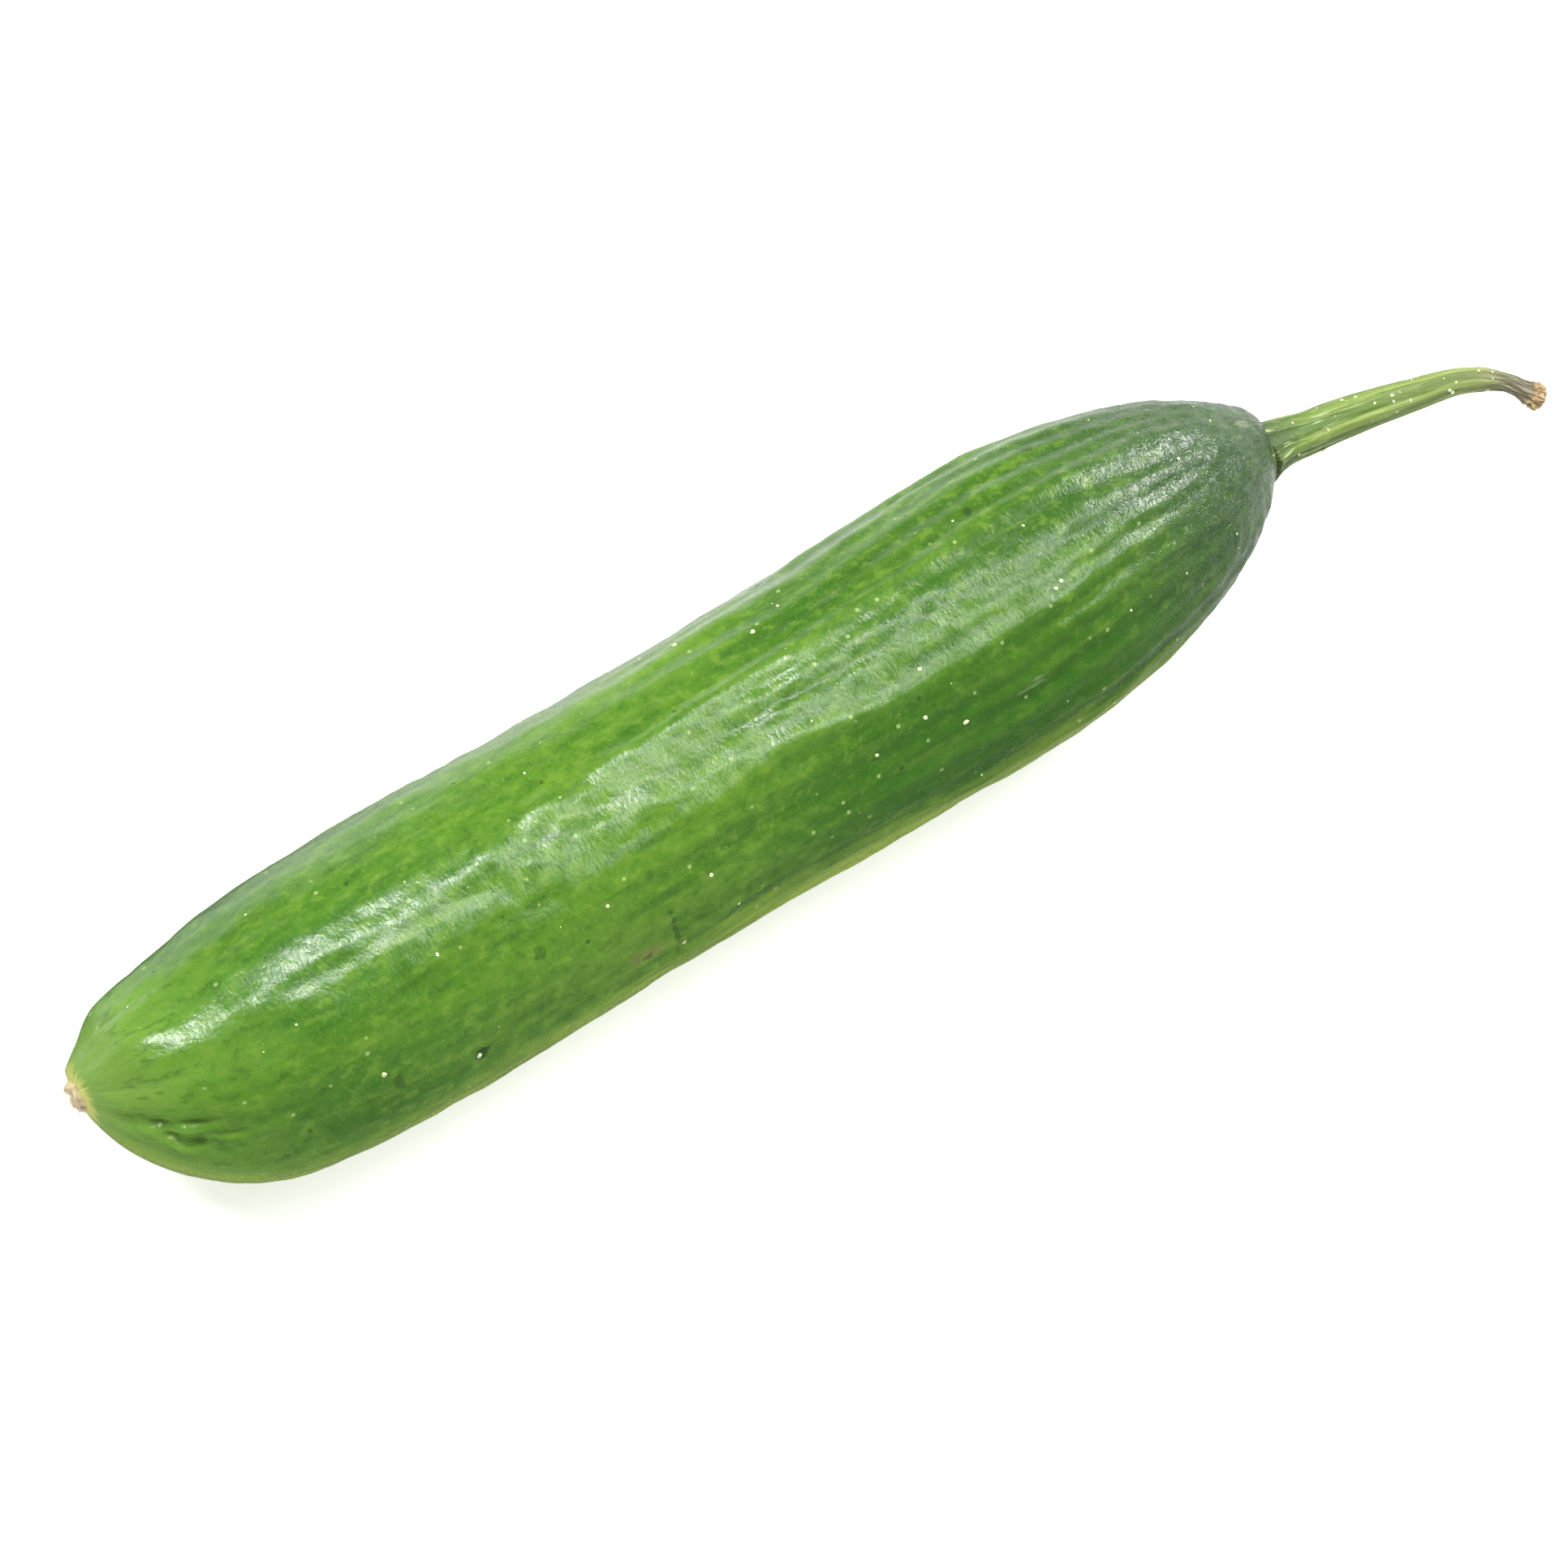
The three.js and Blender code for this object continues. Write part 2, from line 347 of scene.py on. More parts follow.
def build_fruit():
    """Rings along the fruit, closer together at the ends, closed over at both seats."""
    share = (1 - np.cos(math.pi * np.linspace(0, 1, RINGS))) / 2
    even = np.linspace(0, 1, RINGS)
    x = (LENGTH * (0.45 * share + 0.55 * even))[:, None]
    angle = around_once(AROUND) - math.pi / 2
    ribs = rib_height(x, angle)
    points = skin_points(x, angle)
    ends = [points[0].mean(0), points[-1].mean(0)]
    fruit = tube("cucumber_skin", points, ends)

    shape = (RINGS, AROUND)
    spread = [
        with_ends(x, shape, 0, LENGTH),
        with_ends(RADIUS * np.cos(angle), shape, 0, 0),
        with_ends(RADIUS * np.sin(angle), shape, 0, 0),
    ]
    give(fruit, "lengthwise", np.stack(spread, -1) * MM)
    give(fruit, "from_blossom", with_ends(x / LENGTH, shape, 0, 1))
    give(fruit, "ridge", with_ends(0.5 + ribs / RIDGE_SPAN, shape, 0.5, 0.5))
    give(fruit, "underside", with_ends(smooth((-np.sin(angle) + 0.25) / 0.75), shape, 0, 0))
    near = np.linalg.norm(points - ends[0], axis=-1)
    give(fruit, "from_scar", with_ends(near, shape, 0, LENGTH))
    band = np.exp(-((turned_from(angle, PAINTED_SIDE_SHADE["angle"]) / PAINTED_SIDE_SHADE["half_width"]) ** 2))
    run_in = smooth((x - PAINTED_SIDE_SHADE["start"]) / PAINTED_SIDE_SHADE["run_in"])
    run_out = smooth((LENGTH - PAINTED_SIDE_SHADE["stop"] - x) / PAINTED_SIDE_SHADE["run_out"])
    give(fruit, "painted_side_shade", with_ends(band * run_in * run_out, shape, 0, 0))
    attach(fruit, "root")
    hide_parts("fruit")
    return fruit


# ---------------------------------------------------------------- the stem

STEM_RINGS = 260
STEM_AROUND = 120
STEM_SUNK = 3.4  # how far its foot goes into the fruit
STEM_BASE = 5.0
STEM_THICK = 2.5
STEM_THIN = 1.35
STEM_CURVE = 38  # length of its line, for the patterns that run along it
STEM_CAP_RINGS = 18

# The line the stem follows from the fruit's end.
STEM_STEPS = np.array([
    [0, -0.4, -0.4],
    [1.5, -0.8, -0.8],
    [4.8, -1.4, -1.1],
    [8.7, -2.2, -0.9],
    [19, -5.1, 0.1],
    [24.8, -7.3, 0.9],
    [29, -10.2, 0.7],
    [32, -13.9, -0.9],
])


def stem_line(share):
    """Points and directions on a smooth curve through STEM_STEPS, at shares of its length."""
    foot = middle_line(np.array(LENGTH))
    foot[0] = stem_low[0]
    points = STEM_STEPS + foot
    points[0, 0] -= STEM_SUNK
    chord = np.linalg.norm(np.diff(points, axis=0), axis=1)[:, None]
    slope = np.diff(points, axis=0) / chord
    inner = (slope[:-1] * chord[1:] + slope[1:] * chord[:-1]) / (chord[:-1] + chord[1:])
    tangent = np.concatenate([slope[:1], inner, slope[-1:]])
    knots = np.concatenate([[0], np.cumsum(chord)])
    at = share * knots[-1]
    leg = np.clip(np.searchsorted(knots, at, side="right") - 1, 0, len(chord) - 1)
    span = chord[leg]
    t = ((at - knots[leg])[:, None]) / span
    a, b = points[leg], points[leg + 1]
    da, db = tangent[leg] * span, tangent[leg + 1] * span
    place = (2 * t**3 - 3 * t**2 + 1) * a + (t**3 - 2 * t**2 + t) * da
    place = place + (3 * t**2 - 2 * t**3) * b + (t**3 - t**2) * db
    way = (6 * t**2 - 6 * t) * (a - b) + (3 * t**2 - 4 * t + 1) * da + (3 * t**2 - 2 * t) * db
    return place, way / np.linalg.norm(way, axis=1, keepdims=True)


def stem_ribs(share, angle):
    """Phase of the stem's five ribs, a whole turn for each, twisting slowly along it."""
    return 5 * (angle + 0.35 * share) - math.radians(50)


def stem_radius(share, angle):
    """A flared foot, a slow taper, a pinched dry neck and a swollen cut end, with five ribs, thin veins
    between them, and deeper shrivelled furrows towards the cut."""
    skew = 1 + 0.42 * np.cos(angle - math.radians(212))
    foot = (STEM_BASE - STEM_THICK) * np.exp(-share / 0.085) * skew
    thinning = smooth((share - 0.25) / 0.75)
    girth = foot + STEM_THICK + (STEM_THIN - STEM_THICK) * thinning
    girth = girth * (1 - 0.16 * smooth((share - 0.78) / 0.1) + 0.26 * smooth((share - 0.925) / 0.05))
    ribs = 0.035 * np.cos(stem_ribs(share, angle)) + 0.028 * np.cos(11 * angle + 3.8 * share + 1.3)
    veins = 0.03 * noise(share * 9, np.cos(angle) * 4, np.sin(angle) * 4, 41)
    dry = smooth((share - 0.72) / 0.2)
    furrows = dry * 0.24 * noise(share * 13, np.cos(angle) * 2.8, np.sin(angle) * 2.8, 42)
    crumbs = noise(share * 60, np.cos(angle) * 4, np.sin(angle) * 4, 43)
    rough = smooth((share - 0.93) / 0.04) * 0.20 * crumbs
    return girth * (1 + ribs + veins + furrows + rough)


def stem_frame(share):
    """The stem's line with two directions across it, one level and one upright."""
    place, way = stem_line(share)
    across = np.cross([0, 0, 1.0], way)
    across /= np.linalg.norm(across, axis=1, keepdims=True)
    return place, way, across, np.cross(way, across)


def build_stem():
    """Rings carried along the stem's line, then a rough cap of shrinking rings over the cut."""
    share = np.linspace(0, 1, STEM_RINGS)
    angle = around_once(STEM_AROUND)
    place, way, across, upright = stem_frame(share)
    radius = stem_radius(share[:, None], angle)
    beyond = place[:, :1] - BLOSSOM_X - LENGTH + END_DRAWN_IN["x"]
    room = plain_radius(LENGTH + np.minimum(beyond, 0)) - 0.35 + 3 * np.maximum(beyond, 0)
    radius = np.minimum(radius, room)[..., None]
    wave = np.cos(angle)[..., None] * across[:, None] + np.sin(angle)[..., None] * upright[:, None]
    side = place[:, None] + radius * wave

    inward = np.linspace(0.98, 0.06, STEM_CAP_RINGS)[:, None]
    cap_noise = noise(inward * 5, np.cos(angle) * inward * 3, np.sin(angle) * inward * 3, 44)
    bulge = 0.75 * np.sqrt(1 - inward**2) + 0.45 * cap_noise * (1 - inward**6)
    cap = place[-1] + inward[:, :, None] * radius[-1] * wave[-1] + bulge[..., None] * way[-1]
    rings = np.concatenate([side, cap])
    ends = [place[0], place[-1] + bulge[-1].mean() * way[-1]]
    stem = tube("stem_stalk", rings, ends)

    shape = rings.shape[:2]
    length_share = np.concatenate([share, np.full(len(inward), 1.0)])[:, None]
    cut = np.concatenate([smooth((share - 0.955) / 0.03), np.ones(len(inward))])[:, None]
    give(stem, "from_foot", with_ends(length_share, shape, 0, 1))
    give(stem, "cut", with_ends(cut, shape, 0, 1))
    give(stem, "rib", with_ends(0.5 + 0.5 * np.cos(stem_ribs(length_share, angle)), shape, 0.5, 0.5))
    spread = [
        with_ends(length_share * STEM_CURVE, shape, 0, STEM_CURVE),
        with_ends(3 * np.cos(angle), shape, 0, 0),
        with_ends(3 * np.sin(angle), shape, 0, 0),
    ]
    give(stem, "lengthwise", np.stack(spread, -1) * MM)
    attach(stem, "root")
    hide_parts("stem")
    return stem


# ---------------------------------------------------------------- the blossom scar

SCAR_RINGS = 44
SCAR_AROUND = 96
SCAR_DEPTH = 1.25
SCAR_RIM = 0.30


def build_scar():
    """A corky button that closes the drawn-out tip: rings that widen from a dimpled face, round over a
    ragged rim, and close behind inside the skin."""
    angle = around_once(SCAR_AROUND)
    run = np.linspace(0.03, 1, SCAR_RINGS)[:, None]
    reach = (scar_high[1] - scar_low[1]) / 2 + 0.25
    ragged = 1 + 0.14 * noise(run * 2, np.cos(angle) * 1.6, np.sin(angle) * 1.6, 51)
    across = reach * np.sin(run * math.pi * 0.5) ** 0.9 * ragged
    rim = SCAR_RIM * np.exp(-(((run - 0.62) / 0.16) ** 2)) * (1 + 0.5 * np.cos(5 * angle + 1.0))
    dome = SCAR_DEPTH * np.cos(run * math.pi * 0.5) ** 0.9 * 0.75 + rim - 0.25 * np.exp(-((run / 0.25) ** 2))
    out = dome + 0.16 * noise(run * 5, np.cos(angle) * run * 4, np.sin(angle) * run * 4, 52)
    seat = skin_points(np.array([0.0]), np.array([0.0]), False)[0]
    seat[1:] = SCAR_MIDDLE[1] + TIP_DRAWN["y"], SCAR_MIDDLE[2]
    x = seat[0] + 0.1 - out
    y = seat[1] + across * np.cos(angle)
    z = seat[2] + across * np.sin(angle)
    rings = np.stack(np.broadcast_arrays(x, y, z), -1)
    behind = seat[0] + 0.9
    back = rings[-1:].copy()
    back[..., 0] = behind
    face = float(rings[0, :, 0].mean())
    rings = np.concatenate([rings, back])
    scar = tube("blossom_scar_cork", rings, [[face, seat[1], seat[2]], [behind, seat[1], seat[2]]])
    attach(scar, "root")
    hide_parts("blossom_scar")
    return scar


# ---------------------------------------------------------------- small raised spots

SPOT_FACES_AROUND = 8
SPOT_STEPS = 3
SPOT_SUNK = 0.25  # share of its half width by which each sits in the skin


def spots(name, centres, outward, sizes, flatness, seed):
    """Many low domes: each is a few rings that shrink as they rise from the skin along its outward way."""
    rng = np.random.default_rng(seed)
    count = len(centres)
    helper = np.where(np.abs(outward[:, 2:3]) < 0.9, [[0, 0, 1.0]], [[1.0, 0, 0]])
    side = np.cross(outward, helper)
    side /= np.linalg.norm(side, axis=1, keepdims=True)
    other = np.cross(outward, side)
    turn = np.arange(SPOT_FACES_AROUND) * 2 * math.pi / SPOT_FACES_AROUND
    rise = np.linspace(0, 1, SPOT_STEPS, endpoint=False) * math.pi / 2
    ragged = 1 + 0.16 * rng.normal(size=(count, 1, SPOT_FACES_AROUND))
    reach = sizes[:, None, None] * np.cos(rise)[None, :, None] * ragged
    height = sizes[:, None] * (flatness * np.sin(rise)[None, :] - SPOT_SUNK)
    points = centres[:, None, None] + height[:, :, None, None] * outward[:, None, None]
    points = points + (reach * np.cos(turn))[..., None] * side[:, None, None]
    points = points + (reach * np.sin(turn))[..., None] * other[:, None, None]
    tops = centres + outward * (sizes * (flatness - SPOT_SUNK))[:, None]
    bottoms = centres - outward * (sizes * SPOT_SUNK)[:, None]
    block = SPOT_STEPS * SPOT_FACES_AROUND + 2
    every = np.concatenate([points.reshape(count, -1, 3), tops[:, None], bottoms[:, None]], 1)
    around = np.arange(SPOT_FACES_AROUND)
    after = (around + 1) % SPOT_FACES_AROUND
    quads = []
    for step in range(SPOT_STEPS - 1):
        low, high = step * SPOT_FACES_AROUND, (step + 1) * SPOT_FACES_AROUND
        quads.append(np.stack([low + around, low + after, high + after, high + around], -1))
    quads = np.concatenate(quads)
    high = (SPOT_STEPS - 1) * SPOT_FACES_AROUND
    caps = np.stack([high + around, high + after, np.full(SPOT_FACES_AROUND, block - 2)], -1)
    base = np.stack([after, around, np.full(SPOT_FACES_AROUND, block - 1)], -1)
    first = np.arange(count)[:, None, None] * block
    loops = np.concatenate([(faces[None] + first).ravel() for faces in (quads, caps, base)])
    sides = np.concatenate([np.full(count * len(quads), 4), np.full(count * 2 * SPOT_FACES_AROUND, 3)])
    piece = finished_mesh(name, every.reshape(-1, 3), loops, sides)
    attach(piece, "root")
    return piece


def fruit_surface(x, angle):
    """Points on the finished skin and the ways out of it, by stepping a little along and around."""
    here = skin_points(x, angle)
    way = np.cross(skin_points(x, angle + 0.01) - here, skin_points(x + 0.1, angle) - here)
    way /= np.linalg.norm(way, axis=1, keepdims=True)
    return here, way


# Spots that stand out on the near side: distance from the blossom tip, angle, and half width.
LARGE_SPOTS = np.array([
    [112.5, 149, 0.45],
    [40.8, 168, 0.4],
    [29.0, 152, 0.35],
    [88.0, 52, 0.4],
    [96.0, 70, 0.35],
    [62.0, 138, 0.3],
    [75.5, 150, 0.3],
    [100.5, 142, 0.3],
    [70.0, 176, 0.35],
    [130.0, 121, 0.3],
])


def build_skin_spots():
    """The dry bases of the tiny spines: scattered over the skin, a few of them larger."""
    rng = np.random.default_rng(61)
    count = 115
    x = np.concatenate([rng.uniform(5, LENGTH - 8, count), LARGE_SPOTS[:, 0]])
    angle = np.concatenate([rng.uniform(0, 2 * math.pi, count), np.radians(LARGE_SPOTS[:, 1])])
    sizes = np.concatenate([rng.gamma(4, 0.036, count).clip(0.07, 0.32), LARGE_SPOTS[:, 2]])
    here, way = fruit_surface(x, angle)
    clear = here[:, 2] > 1.5
    piece = spots("spine_bases", here[clear], way[clear], sizes[clear], 0.7, 62)
    return piece


def build_stem_spots():
    """Pale raised spots along the stem, of random sizes."""
    rng = np.random.default_rng(71)
    count = 56
    share = np.sort(rng.uniform(0.12, 0.86, count))
    angle = rng.uniform(0, 2 * math.pi, count)
    place, _, across, upright = stem_frame(share)
    way = np.cos(angle)[:, None] * across + np.sin(angle)[:, None] * upright
    here = place + way * stem_radius(share, angle)[:, None]
    sizes = rng.gamma(6, 0.036, count).clip(0.09, 0.40)
    piece = spots("stem_spots", here, way, sizes, 0.75, 72)
    return piece


# ---------------------------------------------------------------- nodes


def feed(tree, socket, value):
    """Joins an input to another node's output, or sets it to a plain value."""
    if isinstance(value, bpy.types.NodeSocket):
        tree.links.new(value, socket)
    else:
        socket.default_value = value


def node(tree, kind, settings=None, **values):
    """A node with its settings and its inputs, which are given by name or, as _0 and so on, by number."""
    made = tree.nodes.new(kind)
    for name, value in (settings or {}).items():
        setattr(made, name, value)
    for name, value in values.items():
        key = int(name[1:]) if name[1:].isdigit() else name
        feed(tree, made.inputs[key], value)
    return made


def attribute(tree, name, field="Fac"):
    """One of the piece's own attributes."""
    return node(tree, "ShaderNodeAttribute", {"attribute_name": name}).outputs[field]


def vector_maths(tree, operation, a, b=(0.0, 0.0, 0.0), field="Vector"):
    """One sum of two vectors. Those that give a number put it out in the field Value."""
    return node(tree, "ShaderNodeVectorMath", {"operation": operation}, _0=a, _1=b).outputs[field]


def noise_value(tree, vector, stretch, size, detail=3.0, rough=0.55):
    """Noise from 0 to 1, its cells size metres wide and stretch times as long down the piece's length."""
    mapped = vector_maths(tree, "MULTIPLY", vector, (1 / (size * stretch), 1 / size, 1 / size))
    made = node(tree, "ShaderNodeTexNoise", {}, Vector=mapped, Scale=1.0, Detail=detail, Roughness=rough)
    return made.outputs["Fac"]


def ranged(tree, value, low, high, to_low=0.0, to_high=1.0):
    """The value moved from one range to another, and held inside it."""
    curve = {"interpolation_type": "SMOOTHSTEP"}
    made = node(tree, "ShaderNodeMapRange", curve, _0=value, _1=low, _2=high, _3=to_low, _4=to_high)
    return made.outputs[0]


def maths(tree, operation, a, b=0.0):
    """One sum of two values."""
    return node(tree, "ShaderNodeMath", {"operation": operation}, _0=a, _1=b).outputs[0]


def swing(tree, value, span):
    """A value of 0 to 1 made to swing about 0, over the span."""
    return maths(tree, "MULTIPLY", maths(tree, "SUBTRACT", value, 0.5), span)


def blended(tree, factor, a, b):
    """Colour a mixed with colour b by the factor."""
    return node(tree, "ShaderNodeMix", {"data_type": "RGBA"}, _0=factor, _6=a, _7=b).outputs[2]


def ramp(tree, value, stops):
    """Colours along a value, from a list of places and colours."""
    made = node(tree, "ShaderNodeValToRGB", {}, Fac=value)
    band = made.color_ramp
    while len(band.elements) < len(stops):
        band.elements.new(0.5)
    for element, (place, colour) in zip(band.elements, stops):
        element.position = place
        element.color = (*colour, 1)
    return made.outputs["Color"]


def material(name):
    """An empty node material with its output and its main shader."""
    made = bpy.data.materials.new(name)
    made.use_nodes = True
    tree = made.node_tree
    shader = next(n for n in tree.nodes if n.type == "BSDF_PRINCIPLED")
    return made, tree, shader


def add_relief(tree, shader, height, strength, distance):
    """Fine relief, that height times distance in metres, on the shader's normal."""
    bump = node(tree, "ShaderNodeBump", {}, Strength=strength, Distance=distance, Height=height)
    tree.links.new(bump.outputs["Normal"], shader.inputs["Normal"])


def let_light_in(shader, radius, depth):
    """Light soaks a little way into the piece, as in any living tissue: depth is in metres."""
    shader.inputs["IOR"].default_value = 1.45
    shader.inputs["Subsurface Weight"].default_value = 0.12
    shader.inputs["Subsurface Radius"].default_value = radius
    shader.inputs["Subsurface Scale"].default_value = depth


def fine_wrinkle_group():
    """Fine relief shared by skin and stem: short fibres, a slower roll, and creases where a noise is 0.5."""
    group = bpy.data.node_groups.new("fine_wrinkles", "ShaderNodeTree")
    for name, kind, start in (
        ("Vector", "NodeSocketVector", None),
        ("Size", "NodeSocketFloat", 0.0006),
        ("Crackle", "NodeSocketFloat", 0.0),
    ):
        socket = group.interface.new_socket(name, in_out="INPUT", socket_type=kind)
        if start is not None:
            socket.default_value = start
    group.interface.new_socket("Height", in_out="OUTPUT", socket_type="NodeSocketFloat")
    group.interface.new_socket("Grain", in_out="OUTPUT", socket_type="NodeSocketFloat")
    start = group.nodes.new("NodeGroupInput").outputs
    finish = group.nodes.new("NodeGroupOutput").inputs
    step = maths(group, "DIVIDE", 1.0, start["Size"])
    enlarge = {"operation": "SCALE"}
    scaled = node(group, "ShaderNodeVectorMath", enlarge, _0=start["Vector"], Scale=step).outputs[0]
    short = vector_maths(group, "MULTIPLY", scaled, (1.0, 0.55, 0.55))
    fibres = node(group, "ShaderNodeTexNoise", {}, Vector=short, Scale=1.0, Detail=2.6)
    fibres.inputs["Roughness"].default_value = 0.52
    fibres.inputs["Distortion"].default_value = 0.5
    roll = node(group, "ShaderNodeTexNoise", {}, Vector=scaled, Scale=0.28, Detail=2.0)
    folded = node(group, "ShaderNodeTexNoise", {}, Vector=short, Scale=0.36, Detail=2.0, Distortion=1.4)
    from_half = maths(group, "SUBTRACT", folded.outputs["Fac"], 0.5)
    crack = ranged(group, maths(group, "ABSOLUTE", from_half), 0.0, 0.09)
    cracked = maths(group, "MULTIPLY", crack, start["Crackle"])
    both = maths(group, "ADD", fibres.outputs["Fac"], maths(group, "MULTIPLY", roll.outputs["Fac"], 0.9))
    group.links.new(maths(group, "ADD", both, cracked), finish["Height"])
    group.links.new(fibres.outputs["Fac"], finish["Grain"])
    return group


def use_group(tree, group, **values):
    """The group placed in a material with that material's own values."""
    made = tree.nodes.new("ShaderNodeGroup")
    made.node_tree = group
    for name, value in values.items():
        feed(tree, made.inputs[name], value)
    return made.outputs


# ---------------------------------------------------------------- materials

wrinkles = fine_wrinkle_group()

# Colours laid over the skin's own green, in the order in which skin_material lays them.
BROAD_PALE = (0.098, 0.205, 0.017, 1)
STRIPE_DARK = (0.020, 0.078, 0.008, 1)
STRIPE_PALE = (0.13, 0.25, 0.028, 1)
VALLEY_PAINTED_SHADE = (0.018, 0.070, 0.008, 1)
CREST_PAINTED_LIGHT = (0.12, 0.235, 0.035, 1)
MOTTLE_PALE = (0.135, 0.240, 0.026, 1)
MOTTLE_DARK = (0.025, 0.086, 0.009, 1)
GRAIN_PALE = (0.19, 0.28, 0.075, 1)
SIDE_SHADE_GREEN = (0.018, 0.085, 0.006, 1)
BELLY_AND_GLOW_YELLOW = (0.27, 0.37, 0.050, 1)
FLECK_PALE = (0.38, 0.48, 0.18, 1)
PIT_DARK = (0.022, 0.05, 0.008, 1)
SHOULDER_DARK = (0.022, 0.056, 0.017, 1)
WAX_DUST = (0.080, 0.108, 0.070, 1)
TIP_GREEN = (0.18, 0.31, 0.075, 1)
TIP_YELLOW = (0.56, 0.55, 0.15, 1)
SEAM_DARK = (0.020, 0.035, 0.010, 1)

# The same for the stem.
RIB_PALE = (0.27, 0.36, 0.070, 1)
RIB_SHADE = (0.062, 0.120, 0.014, 1)
STRAND_PALE = (0.30, 0.38, 0.12, 1)
STRAND_DARK = (0.050, 0.095, 0.014, 1)
BLOTCH_PALE = (0.26, 0.30, 0.075, 1)
DASH_PALE = (0.42, 0.48, 0.25, 1)

# Blemishes: distance from the blossom tip, angle, half length, half width, share of darkness, and colour.
MARKS = [
    (41.0, 168, 0.9, 0.8, 0.8, (0.020, 0.040, 0.010)),
    (69.2, 168, 0.45, 3.2, 0.6, (0.030, 0.060, 0.010)),
    (65.0, 170, 2.4, 1.3, 0.55, (0.150, 0.160, 0.045)),
    (64.6, 171, 0.9, 0.6, 0.7, (0.060, 0.050, 0.020)),
    (102.3, 35, 2.0, 0.8, 0.8, (0.015, 0.045, 0.010)),
    (122.0, 150, 2.0, 0.22, 0.3, (0.260, 0.340, 0.180)),
    (123.2, 148, 1.2, 0.20, 0.3, (0.260, 0.340, 0.180)),
    (166.0, 92, 1.0, 1.6, 0.5, (0.200, 0.220, 0.130)),
    (52.0, 140, 1.2, 0.9, 0.5, (0.022, 0.060, 0.010)),
    (30.5, 158, 0.7, 1.1, 0.5, (0.022, 0.060, 0.010)),
    (88.5, 262, 3.0, 1.4, 0.5, (0.160, 0.160, 0.050)),
    (47.0, 20, 1.0, 0.7, 0.6, (0.020, 0.050, 0.010)),
    (133.0, 44, 0.8, 0.8, 0.6, (0.015, 0.035, 0.010)),
    (139.0, 58, 0.6, 0.7, 0.6, (0.015, 0.035, 0.010)),
    (127.0, 74, 0.6, 0.6, 0.6, (0.015, 0.035, 0.010)),
    (6.6, 158, 1.2, 1.0, 0.2, (0.040, 0.090, 0.012)),
    (17.0, 330, 2.0, 1.2, 0.5, (0.180, 0.180, 0.060)),
]


def with_marks(tree, colour, place, ragged):
    """The colour with every blemish of MARKS laid over it, each an oval with a ragged edge."""
    for at, degrees, long, wide, share, tone in MARKS:
        turn = math.radians(degrees)
        centre = Vector((at, RADIUS * math.cos(turn), RADIUS * math.sin(turn))) * MM
        scale = (1 / (long * MM), 1 / (wide * MM), 1 / (wide * MM))
        away = vector_maths(tree, "MULTIPLY", vector_maths(tree, "SUBTRACT", place, centre), scale)
        reach = vector_maths(tree, "LENGTH", away, field="Value")
        mask = ranged(tree, maths(tree, "ADD", reach, ragged), 1.2, 0.7, 0.0, share)
        colour = blended(tree, mask, colour, (*tone, 1))
    return colour


